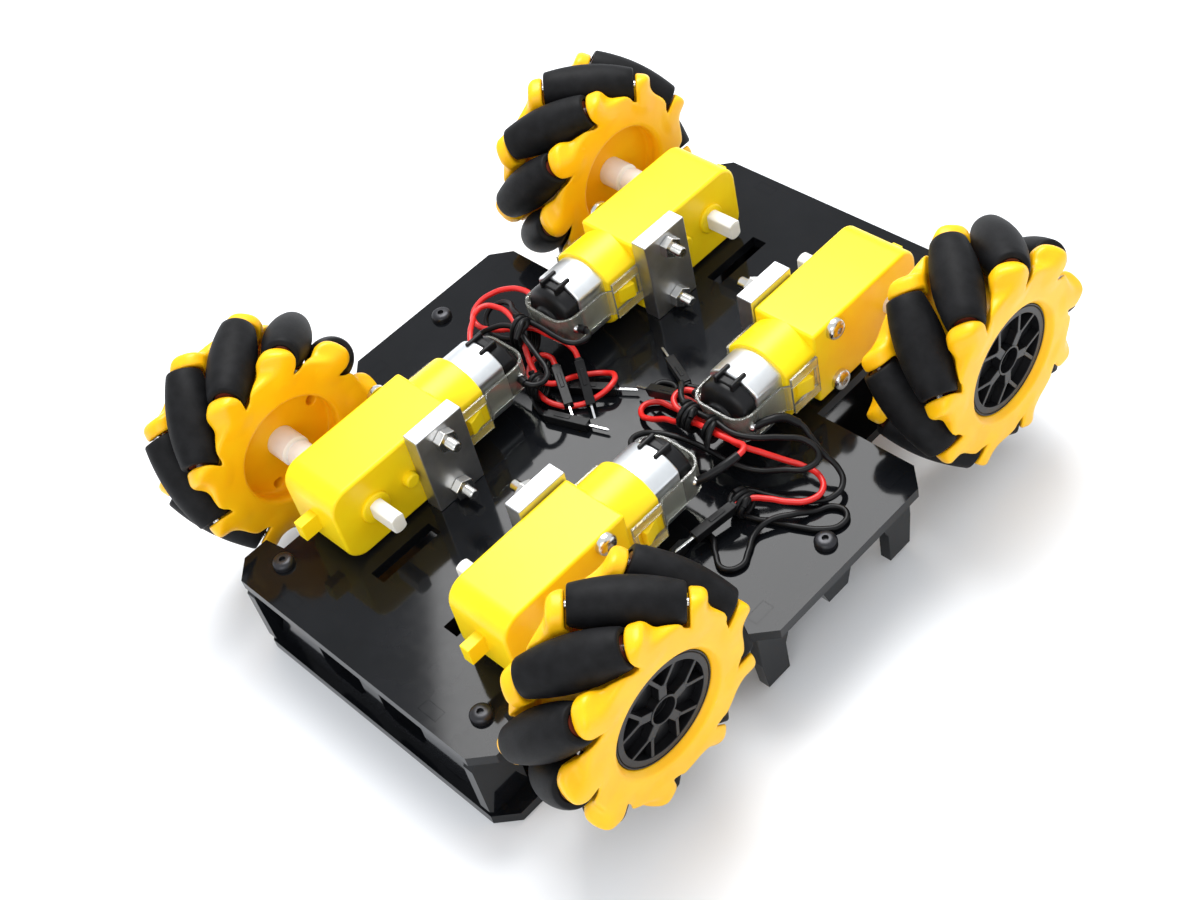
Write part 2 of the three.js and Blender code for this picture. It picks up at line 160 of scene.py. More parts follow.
TIE = finish_of("tie_nylon", (0.004, 0.004, 0.0045), (0.008, 0.008, 0.0085), (0.32, 0.46),
                Specular_IOR_Level=0.22)
TIN = finish_of("tinned_pin", (0.75, 0.75, 0.76), (0.85, 0.85, 0.86), (0.14, 0.26), metallic=1.0)
STRAP = finish_of("clear_strap", (0.90, 0.91, 0.80), (0.95, 0.95, 0.86), (0.04, 0.10),
                  strength=0.05, Transmission_Weight=0.92, IOR=1.46)
FLOOR = finish_of("floor", (0.86, 0.875, 0.89), (0.88, 0.89, 0.905), (0.55, 0.7), scale=3)


# ---------------------------------------------------------------- shapes as (vertices, faces)
def circle(u, v, radius, sides, phase=0.0):
    return [(u + radius * math.cos(phase + 2 * math.pi * i / sides),
             v + radius * math.sin(phase + 2 * math.pi * i / sides)) for i in range(sides)]


def lathe(profile, segments, closed=False):
    """Turns (radius, height) points about +Y. An open profile starts and ends on the axis."""
    verts, faces, rings = [], [], []
    for r, y in profile:
        if r < 1e-9:
            rings.append([len(verts)])
            verts.append((0.0, y, 0.0))
            continue
        rings.append(list(range(len(verts), len(verts) + segments)))
        verts += [(x, y, z) for x, z in circle(0, 0, r, segments)]
    pairs = list(zip(rings, rings[1:]))
    if closed:
        pairs.append((rings[-1], rings[0]))
    for a, b in pairs:
        for i in range(segments):
            j = (i + 1) % segments
            quad = [a[i % len(a)], b[i % len(b)], b[j % len(b)], a[j % len(a)]]
            face = list(dict.fromkeys(quad))
            if len(face) > 2:
                faces.append(face)
    return verts, faces


def prism(outline, depth):
    """An outline in (u, v) pulled along w, as (u, v, w)."""
    n = len(outline)
    verts = [(u, v, 0.0) for u, v in outline] + [(u, v, depth) for u, v in outline]
    faces = [list(range(n))[::-1], list(range(n, 2 * n))]
    faces += [[i, (i + 1) % n, n + (i + 1) % n, n + i] for i in range(n)]
    return verts, faces


def moved(shape, matrix):
    verts, faces = shape
    verts = [tuple(matrix @ Vector(v)) for v in verts]
    if matrix.determinant() < 0:
        faces = [f[::-1] for f in faces]
    return verts, faces


def joined(*shapes):
    verts, faces = [], []
    for v, f in shapes:
        faces += [[i + len(verts) for i in face] for face in f]
        verts += v
    return verts, faces


# Axis swaps: where a shape's own (u, v, w) go.
ALONG_X = Matrix(((0, 0, 1, 0), (1, 0, 0, 0), (0, 1, 0, 0), (0, 0, 0, 1)))   # u->y, v->z, w->x
LATHE_X = Matrix(((0, 1, 0, 0), (1, 0, 0, 0), (0, 0, -1, 0), (0, 0, 0, 1)))  # lathe axis -> +X
LATHE_Z = Matrix(((1, 0, 0, 0), (0, 0, -1, 0), (0, 1, 0, 0), (0, 0, 0, 1)))  # lathe axis -> +Z


def at(x, y, z):
    return Matrix.Translation((x, y, z))


def prism_x(outline, x0, depth):
    return moved(prism(outline, depth), at(x0, 0, 0) @ ALONG_X)


def prism_y(outline, y0, depth):
    """An outline in (x, z) pulled along +Y."""
    n = len(outline)
    verts = [(x, y0, z) for x, z in outline] + [(x, y0 + depth, z) for x, z in outline]
    faces = [list(range(n)), list(range(n, 2 * n))[::-1]]
    faces += [[n + i, n + (i + 1) % n, (i + 1) % n, i] for i in range(n)]
    return verts, faces


def prism_z(outline, z0, depth):
    return moved(prism(outline, depth), at(0, 0, z0))


def turned_x(profile, x, y, z, segments=32):
    """A lathe on an axis along +X; profile is (radius, x)."""
    return moved(lathe(profile, segments), at(x, y, z) @ LATHE_X)


def turned_z(profile, x, y, z, segments=32):
    return moved(lathe(profile, segments), at(x, y, z) @ LATHE_Z)


def to_corner(shape, sx, sy):
    return moved(shape, Matrix.Diagonal((sx, sy, 1, 1)))


def place(name, shape, mat, body, soft=None, bevel=None, segments=3, angle=35):
    """Makes one piece from a shape in millimetres, with rounded edges, riding on a body."""
    verts, faces = shape
    mesh = bpy.data.meshes.new(name)
    mesh.from_pydata([(x * MM, y * MM, z * MM) for x, y, z in verts], [], faces)
    bm = bmesh.new()
    bm.from_mesh(mesh)
    bmesh.ops.remove_doubles(bm, verts=bm.verts, dist=1e-7)
    bmesh.ops.recalc_face_normals(bm, faces=bm.faces)
    bm.to_mesh(mesh)
    bm.free()
    obj = bpy.data.objects.new(name, mesh)
    bpy.context.scene.collection.objects.link(obj)
    mesh.materials.append(mat)
    if bevel:
        mod = obj.modifiers.new("edges", "BEVEL")
        mod.width = bevel * MM
        mod.segments = segments
        mod.limit_method = "ANGLE"
        mod.angle_limit = math.radians(angle)
        mod.harden_normals = True
    smooth(obj, soft or angle)
    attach(obj, body)
    return obj


def smooth(obj, angle):
    mesh = obj.data
    for polygon in mesh.polygons:
        polygon.use_smooth = True
    bm = bmesh.new()
    bm.from_mesh(mesh)
    limit = math.radians(angle)
    for edge in bm.edges:
        if len(edge.link_faces) == 2:
            edge.smooth = edge.calc_face_angle(0) < limit
    bm.to_mesh(mesh)
    bm.free()


# ---------------------------------------------------------------- camera
SENSOR = 36.0
LENS = 51.715
CAMERA_AT = Vector((0.24270, -0.17573, 0.34068))
CAMERA_FORWARD = Vector((-0.56022, 0.38825, -0.73173))
CAMERA_UP = Vector((-0.42944, 0.61925, 0.65735))

camera_data = bpy.data.cameras.new("camera")
camera_data.sensor_width = SENSOR
camera_data.lens = LENS
camera_data.clip_start = 0.01
camera = bpy.data.objects.new("camera", camera_data)
bpy.context.scene.collection.objects.link(camera)
forward = CAMERA_FORWARD.normalized()
sideways = forward.cross(CAMERA_UP).normalized()
upward = sideways.cross(forward)
camera.matrix_world = Matrix((
    (sideways.x, upward.x, -forward.x, CAMERA_AT.x),
    (sideways.y, upward.y, -forward.y, CAMERA_AT.y),
    (sideways.z, upward.z, -forward.z, CAMERA_AT.z),
    (0, 0, 0, 1)))
bpy.context.scene.camera = camera

# ---------------------------------------------------------------- motor leads
# Each lead runs from a terminal on a motor's cap, through the ties, to its plug. Points are
# (x, y, height above the motor plate) in millimetres. Before them stand the
# lead's length in metres and its plug's far end.
WIRE = 1.5
LEADS = {
    "rear_right_red": (WIRE_RED, 0.0870, (2.6, 9.6, 4.4), (
        (38.0, -10.4, 12.0), (40.4, -7.6, 13.4), (42.2, -4.2, 14.8), (43.2, -0.4, 15.4),
        (42.4, 2.4, 15.2), (39.0, 2.8, 14.4), (33.5, 2.6, 13.8), (28.5, 2.8, 13.3),
        (24.0, 2.8, 12.0), (19.0, 3.0, 8.6), (14.0, 3.9, 5.6), (9.0, 3.4, 3.0),
        (5.0, 4.0, 1.6), (3.2, 6.8, 1.2), (5.0, 9.6, 1.2), (9.6, 10.4, 1.4), (14.2, 10.5, 2.0),
        (18.2, 10.6, 3.4), (19.9, 10.4, 6.2), (18.7, 9.9, 8.9), (15.4, 9.5, 9.4))),
    "front_right_red": (WIRE_RED, 0.0790, (43.4, -18.4, 3.6), (
        (21.6, 10.6, 12.0), (18.8, 10.9, 12.1), (16.4, 9.6, 12.3), (15.9, 7.0, 12.4),
        (17.8, 4.9, 12.2), (21.4, 4.4, 12.0), (26.0, 4.6, 11.8), (32.0, 4.7, 11.5),
        (38.2, 5.0, 10.6), (42.6, 7.4, 8.6), (47.0, 10.0, 6.4), (51.6, 12.0, 5.0),
        (55.8, 12.2, 4.2), (58.6, 9.6, 3.6), (58.0, 5.8, 3.4), (54.4, 2.4, 3.6),
        (50.0, 0.0, 4.0), (46.8, -2.6, 4.4), (45.4, -6.0, 4.4))),
    "front_right_black": (WIRE_BLACK, 0.1495, (41.9, -32.2, 1.4), (
        (38.0, 10.4, 12.0), (40.2, 13.4, 12.8), (42.2, 16.6, 12.2), (45.4, 18.4, 10.4),
        (49.4, 17.6, 8.6), (53.4, 16.8, 6.4), (57.6, 16.6, 4.4), (60.8, 14.4, 3.2),
        (61.2, 10.6, 2.4), (58.0, 7.4, 1.4), (53.4, 4.8, 1.0), (48.0, 2.6, 1.2),
        (43.0, 0.4, 1.6), (41.0, -2.6, 1.6), (43.6, -5.4, 1.2), (48.6, -4.8, 0.8),
        (54.0, -2.6, 0.8), (59.6, -0.4, 0.8), (64.4, 2.2, 0.8), (67.0, 5.6, 0.8),
        (65.8, 9.2, 0.8), (62.2, 9.0, 0.8), (59.6, 5.4, 0.8), (57.0, 0.8, 2.4),
        (53.6, -4.0, 2.4), (52.8, -8.6, 1.2), (54.6, -12.8, 0.8), (56.0, -17.0, 0.8),
        (53.2, -20.0, 0.8), (48.6, -17.6, 0.8), (44.6, -14.6, 0.9),
        (41.8, -16.0, 1.2), (41.4, -19.4, 1.4))),
    "rear_right_black": (WIRE_BLACK, 0.1597, (-2.6, 22.6, 1.6), (
        (21.6, -10.6, 12.0), (18.8, -10.9, 11.9), (16.4, -9.4, 11.5), (16.2, -6.2, 10.8),
        (18.4, -3.2, 9.8), (22.0, -1.2, 9.2), (27.0, 0.2, 8.8), (32.5, 0.8, 8.4),
        (38.0, 1.4, 7.6), (43.6, 3.8, 6.2), (49.0, 7.2, 6.8), (53.8, 10.6, 7.4),
        (54.4, 14.2, 8.8), (50.4, 14.8, 10.8), (45.6, 11.2, 12.4), (41.2, 6.8, 13.6),
        (37.0, 4.7, 14.3), (31.0, 4.9, 14.6), (25.0, 4.8, 14.4), (21.0, 5.0, 15.4),
        (17.4, 8.2, 15.4), (14.4, 11.2, 12.2), (11.6, 12.4, 7.6), (7.4, 12.0, 2.8),
        (3.2, 11.8, 1.1), (0.8, 14.0, 1.0), (3.6, 16.6, 0.9), (8.6, 14.6, 0.9), (13.0, 13.3, 1.0),
        (17.2, 13.8, 1.2), (19.4, 16.6, 1.8), (17.2, 19.2, 2.6), (13.2, 18.2, 3.2),
        (9.6, 16.9, 3.2))),
    "front_left_red": (WIRE_RED, 0.0660, (-8.5, -0.6, 2.0), (
        (-38.0, 10.4, 12.0), (-40.4, 12.2, 12.4), (-44.2, 12.6, 12.0), (-48.8, 11.6, 10.8),
        (-52.6, 8.8, 9.4), (-54.4, 5.0, 8.0), (-53.2, 1.2, 6.8), (-49.6, -0.2, 6.2),
        (-45.0, 0.8, 6.6), (-40.0, 2.6, 8.0), (-35.0, 4.2, 10.0), (-30.5, 4.5, 11.6),
        (-26.4, 4.4, 12.2), (-23.0, 4.8, 12.2), (-20.2, 5.3, 11.6), (-18.2, 5.6, 9.9),
        (-17.0, 5.2, 8.1))),
    "rear_left_red": (WIRE_RED, 0.1190, (-12.0, -4.8, 2.6), (
        (-38.0, -10.4, 12.0), (-40.4, -9.6, 12.6), (-43.4, -7.0, 13.0), (-46.4, -3.6, 12.2),
        (-49.6, -0.4, 10.8), (-50.0, 3.4, 10.4), (-46.4, 5.0, 10.6), (-41.6, 4.6, 11.2),
        (-37.0, 2.9, 11.2), (-32.8, 0.9, 10.4), (-28.8, -1.6, 9.0), (-25.2, -3.6, 7.4),
        (-21.4, -4.6, 5.8), (-18.8, -2.4, 4.4), (-17.4, 1.6, 3.8), (-15.8, 6.0, 2.2),
        (-12.6, 9.4, 1.6), (-9.0, 9.2, 3.0), (-6.8, 5.8, 3.7), (-8.0, 1.6, 2.4),
        (-11.0, -2.6, 1.2), (-15.4, -5.8, 1.4), (-20.4, -6.6, 2.4), (-25.2, -5.0, 3.6),
        (-28.2, -2.4, 4.8), (-28.2, 0.9, 6.0), (-25.2, 2.5, 6.2), (-22.4, 1.6, 5.4))),
    "front_left_black": (WIRE_BLACK, 0.0880, (-6.2, 7.0, 1.4), (
        (-21.6, 10.6, 12.0), (-18.8, 11.0, 12.3), (-16.2, 9.6, 12.9), (-15.9, 6.8, 13.4),
        (-18.0, 4.6, 13.8), (-22.0, 4.1, 13.9), (-28.0, 4.3, 13.8), (-34.6, 4.4, 13.4),
        (-39.8, 5.4, 12.6), (-44.4, 7.8, 10.8), (-49.0, 7.6, 8.6), (-51.4, 4.8, 6.2),
        (-49.4, 2.0, 4.2), (-44.6, 1.6, 3.4), (-39.4, 2.8, 4.2), (-34.4, 2.8, 5.0),
        (-30.6, 1.4, 3.4), (-27.0, -0.8, 1.8), (-23.6, -2.0, 1.3),
        (-20.2, -1.2, 1.3), (-17.4, 0.2, 1.4))),
    "rear_left_black": (WIRE_BLACK, 0.0830, (-3.8, -6.2, 1.3), (
        (-21.6, -10.6, 12.0), (-18.8, -10.9, 11.9), (-16.4, -9.4, 11.5), (-16.4, -6.2, 11.0),
        (-18.8, -3.8, 11.0), (-23.0, -2.4, 11.8), (-28.4, -0.8, 12.8), (-33.0, 0.6, 13.2),
        (-37.4, 0.2, 12.8), (-41.4, -1.8, 11.2), (-45.0, -4.4, 8.4), (-46.6, -7.0, 5.0),
        (-44.2, -7.4, 2.0), (-40.0, -4.6, 0.9), (-34.8, -2.2, 0.8), (-29.4, -3.0, 0.8),
        (-24.6, -6.0, 0.8), (-20.0, -9.0, 0.8), (-16.0, -10.2, 1.3))),
}

PLUG_LENGTH = 12.8
PLUG_WIDTH = 2.5
PLUG_NECK = 0.72        # neck width over housing width
PIN_HALF = 0.32
PIN_TIP = 0.6           # tip width over pin width
SHRINK_WALL = 0.35
SHRINK_POINTS = 2       # route points that a shrink sleeve covers
LONG_SHRINK = {"rear_right_red": 4, "front_right_black": 4}
TIE_STEPS = 12          # points in one turn of a tie
TIE_PITCH = 2.1         # spacing of a tie's turns, in wire radii


def square(half):
    return [(-half, -half), (half, -half), (half, half), (-half, half)]


def centreline(name, points, radius, mat, resolution=10):
    """A smooth round cord through points given in (x, y, height above the motor plate)."""
    curve = bpy.data.curves.new(name, "CURVE")
    curve.dimensions = "3D"
    curve.bevel_depth = radius * MM
    curve.bevel_resolution = 4
    curve.resolution_u = resolution
    curve.use_fill_caps = True
    spline = curve.splines.new("BEZIER")
    spline.bezier_points.add(len(points) - 1)
    for knot, (x, y, height) in zip(spline.bezier_points, points):
        knot.co = (x * MM, y * MM, (PLATE_TOP + height) * MM)
        knot.handle_left_type = knot.handle_right_type = "AUTO"
    curve.materials.append(mat)
    obj = bpy.data.objects.new(name, curve)
    bpy.context.scene.collection.objects.link(obj)
    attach(obj, "chassis")
    return obj


def aimed(start, end):
    """A frame at start whose Z runs to end."""
    axis = (end - start).normalized()
    side = axis.cross(Vector((0, 0, 1))).normalized()
    up = side.cross(axis)
    return Matrix((
        (side.x, up.x, axis.x, start.x),
        (side.y, up.y, axis.y, start.y),
        (side.z, up.z, axis.z, start.z),
        (0, 0, 0, 1)))


def plug(name, start, end):
    """A square pin housing with a narrow neck and a latch, and its tinned pin."""
    frame_at = aimed(start, end)
    w = PLUG_WIDTH / 2
    latch = [(-0.55, w - 0.2), (0.55, w - 0.2), (0.55, w + 0.18), (-0.55, w + 0.18)]
    body = joined(
        moved(prism(square(w), PLUG_LENGTH - 0.8), at(0, 0, 0.8)),
        prism(square(w * PLUG_NECK), 1.6),
        moved(prism(latch, 4.5), at(0, 0, 3.2)))
    housing = place(f"plug_{name}", moved(body, frame_at), TIE, "chassis",
                    bevel=0.18, segments=2)
    shank = prism(square(PIN_HALF), 5.6)
    tip = prism(square(PIN_HALF * PIN_TIP), 0.5)
    pin = joined(moved(shank, at(0, 0, PLUG_LENGTH - 0.2)), moved(tip, at(0, 0, PLUG_LENGTH + 5.2)))
    tinned = place(f"plug_pin_{name}", moved(pin, frame_at), TIN, "chassis",
                   bevel=0.1, segments=2)
    return housing, tinned


def tie(name, centre, half_width, half_height, turns, radius, tail):
    """Wire tie: an oval coil round a bundle that runs along X, then a loose tail."""
    points = []
    for i in range(turns * TIE_STEPS + 1):
        a = 2 * math.pi * i / TIE_STEPS
        points.append((centre[0] + (i / TIE_STEPS - turns / 2) * radius * TIE_PITCH,
                       centre[1] + half_width * math.sin(a),
                       centre[2] + half_height * math.cos(a)))
    points += tail
    return centreline(name, points, radius, TIE, 4)


# The lead that a tie belongs to, its centre, half width and height, turns, wire radius and tail.
TIES = {
    "right_outer": ("rear_right_red", (24.0, 3.7, 12.9), 2.9, 3.1, 3, 0.7,
                    [(26.0, 3.6, 16.6), (26.8, 1.4, 16.2)]),
    "right_inner": ("rear_right_red", (31.0, 3.6, 12.9), 2.6, 2.9, 2, 0.65,
                    [(32.6, 3.2, 16.2), (33.2, 0.8, 15.2), (33.6, -1.2, 12.4)]),
    "left_outer": ("rear_left_red", (-33.4, 2.4, 9.6), 3.2, 5.4, 3, 0.75,
                   [(-31.6, 2.2, 15.8), (-30.8, 0.0, 15.6), (-30.4, -2.4, 13.8)]),
    "left_inner": ("rear_left_red", (-22.0, -5.5, 4.2), 2.6, 3.2, 3, 0.7,
                   [(-20.0, -5.6, 8.0), (-19.4, -8.0, 7.2)]),
    "right_lower": ("front_right_red", (45.4, -3.8, 3.0), 3.0, 2.2, 3, 0.7,
                    [(47.4, -3.8, 6.0), (48.0, -6.0, 5.2)]),
}

pieces_of = {name: [] for name in LEADS}
for tie_name, (lead, *shape) in TIES.items():
    pieces_of[lead].append(tie(f"tie_{tie_name}", *shape))
for name, (mat, length, far, points) in LEADS.items():
    lead = centreline(f"lead_{name}", points, WIRE / 2, mat)
    start = Vector(points[-1]) + Vector((0, 0, PLATE_TOP))
    end = Vector(far) + Vector((0, 0, PLATE_TOP))
    pieces_of[name] += plug(name, start, end)
    covered = points[:LONG_SHRINK.get(name, SHRINK_POINTS)]
    stub = centreline(f"shrink_{name}", covered, WIRE / 2 + SHRINK_WALL, WIRE_BLACK)
    pieces_of[name].append(stub)
    x, y, height = points[0]
    if name in ("rear_right_red", "rear_left_red"):
        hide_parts("wire_bundle_" + name.split("_")[1])


# ---------------------------------------------------------------- sheets stay as the CAD cut them
for node in ("motor_plate", "deck_plate", "end_wall_front", "end_wall_rear",
             "side_wall_left", "side_wall_right"):
    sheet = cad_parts[node]
    sheet.data.materials.clear()
    sheet.data.materials.append(ACRYLIC)
    edge = sheet.modifiers.new("edges", "BEVEL")
    edge.width = 0.18 * MM
    edge.segments = 2
    edge.limit_method = "ANGLE"
    edge.angle_limit = math.radians(30)
    edge.harden_normals = True


# ---------------------------------------------------------------- rollers
def roller_radius(s):
    reach = math.hypot(PITCH_RADIUS, s / ROOT2)
    return (WHEEL_RADIUS - reach) * math.sqrt(1 - s * s / (4 * reach * reach))


def roller_place(turn, i):
    a = math.radians(turn + 360 / ROLLERS * i)
    radial = Vector((0, math.cos(a), math.sin(a)))
    tangent = Vector((0, -math.sin(a), math.cos(a)))
    axis = (Vector((1, 0, 0)) + tangent).normalized()
    side = radial.cross(axis)
    centre = Vector((WHEEL_X, AXLE_Y, AXLE_Z)) + PITCH_RADIUS * radial
    return Matrix((
        (radial.x, axis.x, side.x, centre.x),
        (radial.y, axis.y, side.y, centre.y),
        (radial.z, axis.z, side.z, centre.z),
        (0, 0, 0, 1)))


def roller_profile():
    steps = 14
    skin = []
    for k in range(steps + 1):
        s = -ROLLER_HALF + 0.5 + (2 * ROLLER_HALF - 1.0) * k / steps
        skin.append((roller_radius(s), s))
    end = roller_radius(ROLLER_HALF)
    low = [(1.5, -ROLLER_HALF + 0.8), (2.9, -ROLLER_HALF + 0.8), (3.1, -ROLLER_HALF),
           (end - 0.4, -ROLLER_HALF), (end - 0.1, -ROLLER_HALF + 0.15)]
    high = [(r, -s) for r, s in reversed(low)]
    return low + skin + high


ROLLER_PROFILE = roller_profile()

for corner, (sx, sy, turn) in CORNERS.items():
    for i in range(ROLLERS):
        node = f"roller_{corner}_{i + 1}"
        matrix = roller_place(turn, i)
        body = to_corner(moved(lathe(ROLLER_PROFILE, 40, closed=True), matrix), sx, sy)
        tread = place(f"tread_{corner}_{i + 1}", body, RUBBER, node, soft=50)
        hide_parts(node)
        sleeve = [(1.15, -ROLLER_HALF + 0.3), (2.7, -ROLLER_HALF + 0.3),
                  (2.7, ROLLER_HALF - 0.3), (1.15, ROLLER_HALF - 0.3)]
        core = to_corner(moved(lathe(sleeve, 24, closed=True), matrix), sx, sy)
        place(f"core_{corner}_{i + 1}", core, CORE, node, soft=40)


# ---------------------------------------------------------------- wheel spiders
# The moulded spider is one smooth skin with wide fillets, so it is drawn as a distance field:
# negative inside, in millimetres, on a grid centred on the wheel.
SKIN_STEP = 0.36
FACE_X = 12.4
EAR_RADIUS = 5.1
EAR_INWARD = 2.4
EAR_START = 12.65
EAR_END = 16.6
EAR_TIP = 28.8
CORE_HOLES = (71.5, 206.5)
CORE_HOLE_RING = 12.6
CORE_HOLE = 1.5


def soft_min(a, b, k):
    h = np.clip(0.5 + 0.5 * (b - a) / k, 0, 1)
    return b + (a - b) * h - k * h * (1 - h)


def soft_max(a, b, k):
    return -soft_min(-a, -b, k)


def slab(u, low, high):
    return np.abs(u - (low + high) / 2) - (high - low) / 2


def rounded(du, dv, radius):
    """Distance to a rounded corner, from the distances to its two flat faces."""
    a, b = du + radius, dv + radius
    outside = np.hypot(np.maximum(a, 0), np.maximum(b, 0))
    return outside + np.minimum(np.maximum(a, b), 0) - radius


def spider_field(x, y, z):
    r = np.hypot(y, z)
    plate = rounded(slab(np.abs(x), 8.7, FACE_X - 0.1), slab(r, 14.5, 24.0), 1.2)
    drum = rounded(slab(np.abs(x), -11, 11), slab(r, 14.9, 16.8), 0.4)
    web = rounded(slab(x, -6.4, 6.2), r - 15.5, 0.4)
    body = soft_min(soft_min(plate, drum, 0.8), web, 1.0)
    pockets = np.full_like(body, 99.0)
    for i in range(ROLLERS):
        a = 2 * math.pi * i / ROLLERS
        radial = y * math.cos(a) + z * math.sin(a)
        tangent = z * math.cos(a) - y * math.sin(a)
        s = (x + tangent) / ROOT2
        across = (x - tangent) / ROOT2
        ear_axis = np.hypot(radial - PITCH_RADIUS + EAR_INWARD, across)
        ear = rounded(slab(np.abs(s), EAR_START - 1.2, EAR_END), ear_axis - EAR_RADIUS, 1.6)
        body = soft_min(body, np.where(radial > 0, ear, 99.0), 2.2)
        roller_axis = np.hypot(radial - PITCH_RADIUS, across)
        skin = 6.0 - 0.0109 * s * s
        pocket = np.maximum(slab(s, -EAR_START, EAR_START), roller_axis - skin - 0.75)
        pockets = np.minimum(pockets, np.where(radial > 0, pocket, 99.0))
    body = soft_max(body, -pockets, 0.7)
    body = soft_max(body, np.abs(x) - FACE_X, 1.4)
    body = soft_max(body, r - EAR_TIP, 1.4)
    hub_bore = rounded(9.4 - x, r - 14.5 - 0.9 * np.clip(x - 10.4, 0, 3), 0.1)
    body = soft_max(body, -hub_bore, 0.4)
    for angle in CORE_HOLES:
        a = math.radians(angle)
        hole = np.hypot(y - CORE_HOLE_RING * math.cos(a), z - CORE_HOLE_RING * math.sin(a))
        body = soft_max(body, -np.maximum(hole - CORE_HOLE, x + 2.4), 0.2)
    return body


def surface_net(field, origin, step):
    """One vertex in every grid cell the surface passes, and a quad over every edge it cuts."""
    inside = field < 0
    cells = tuple(n - 1 for n in field.shape)
    total = np.zeros(cells + (3,))
    count = np.zeros(cells)
    corner = (slice(0, -1), slice(1, None))
    for axis in range(3):
        others = [k for k in range(3) if k != axis]
        for p in (0, 1):
            for q in (0, 1):
                low, high = [None] * 3, [None] * 3
                low[axis], high[axis] = corner
                for pick in (low, high):
                    pick[others[0]] = corner[p]
                    pick[others[1]] = corner[q]
                a, b = field[tuple(low)], field[tuple(high)]
                cut = (a < 0) != (b < 0)
                t = np.where(cut, a / np.where(cut, a - b, 1), 0)
                total[..., axis] += t
                total[..., others[0]] += cut * p
                total[..., others[1]] += cut * q
                count += cut
    used = count > 0
    index = np.full(cells, -1)
    index[used] = np.arange(used.sum())
    place_in_cell = total[used] / count[used][:, None]
    verts = (np.argwhere(used) + place_in_cell) * step + np.array(origin)
    faces = []
    for axis in range(3):
        u, v = [(1, 2), (2, 0), (0, 1)][axis]
        low, high = [slice(None)] * 3, [slice(None)] * 3
        low[axis], high[axis] = corner
        crossing = np.argwhere(inside[tuple(low)] != inside[tuple(high)])
        step_u, step_v = np.eye(3, dtype=int)[u], np.eye(3, dtype=int)[v]
        ring = [crossing - step_u - step_v, crossing - step_v, crossing, crossing - step_u]
        quads = np.stack([index[tuple(c.T)] for c in ring], axis=1)
        outward = inside[tuple(crossing.T)]
        quads[~outward] = quads[~outward][:, ::-1]
        faces.append(quads)
    return [tuple(v) for v in verts.tolist()], np.concatenate(faces).tolist()


def spider_skin():
    half = (13.2, 30.6, 30.6)
    axes = [np.arange(-h, h, SKIN_STEP) for h in half]
    x, y, z = np.meshgrid(*axes, indexing="ij")
    shape = surface_net(spider_field(x, y, z), [a[0] for a in axes], SKIN_STEP)
    mesh = bpy.data.meshes.new("spider_base")
    mesh.from_pydata(shape[0], [], shape[1])
    obj = bpy.data.objects.new("spider_base", mesh)
    bpy.context.scene.collection.objects.link(obj)
    thin = obj.modifiers.new("thin", "DECIMATE")
    thin.ratio = 0.3
    evaluated = obj.evaluated_get(bpy.context.evaluated_depsgraph_get())
    result = evaluated.to_mesh()
    out = ([tuple(v.co) for v in result.vertices], [list(p.vertices) for p in result.polygons])
    evaluated.to_mesh_clear()
    bpy.data.objects.remove(obj)
    return out


SPIDER_SKIN = spider_skin()


def wheel_place(turn):
    return at(WHEEL_X, AXLE_Y, AXLE_Z) @ Matrix.Rotation(math.radians(turn), 4, "X")


def rib(r0, a0, r1, a1, width, x0, depth):
    """A straight rib between two polar points on the wheel's face."""
    p = Vector((r0 * math.cos(a0), r0 * math.sin(a0)))
    q = Vector((r1 * math.cos(a1), r1 * math.sin(a1)))
    n = (q - p).normalized()
    n = Vector((-n.y, n.x)) * width / 2
    return prism_x([tuple(p - n), tuple(q - n), tuple(q + n), tuple(p + n)], x0, depth)


INSERT_ARMS = 5
INSERT_BASE = 8.0
INSERT_FACE = 10.4
ARM_ANGLES = {"front_right": 51.0, "front_left": 60.0, "rear_left": 20.0, "rear_right": 172.0}


def insert_shapes():
    """The hub insert: a grooved rim, an open boss and five forked arms over a dark floor."""
    depth = INSERT_FACE - INSERT_BASE
    floor = turned_x([(0, 6.6), (14.35, 6.6), (14.35, INSERT_BASE), (3.4, INSERT_BASE), (3.3, 7.2),
                      (0, 7.2)], 0, 0, 0, 64)
    rim = moved(lathe([(12.2, INSERT_BASE), (14.45, INSERT_BASE), (14.45, INSERT_FACE),
                       (14.1, INSERT_FACE + 0.05), (13.95, INSERT_FACE - 0.4),
                       (13.8, INSERT_FACE), (12.2, INSERT_FACE)], 72, closed=True), LATHE_X)
    boss = moved(lathe([(3.3, INSERT_BASE), (3.9, INSERT_BASE), (3.9, INSERT_FACE),
                        (3.3, INSERT_FACE)], 40, closed=True), LATHE_X)
    shapes = [floor, rim, boss]
    for k in range(INSERT_ARMS):
        a = 2 * math.pi * k / INSERT_ARMS
        shapes.append(rib(3.7, a, 7.7, a, 2.4, INSERT_BASE, depth - 0.15))
        for side in (-1, 1):
            shapes.append(rib(7.0, a + side * 0.06, 12.8, a + side * math.radians(18), 0.95,
                              INSERT_BASE, depth - 0.1))
    return joined(*shapes)


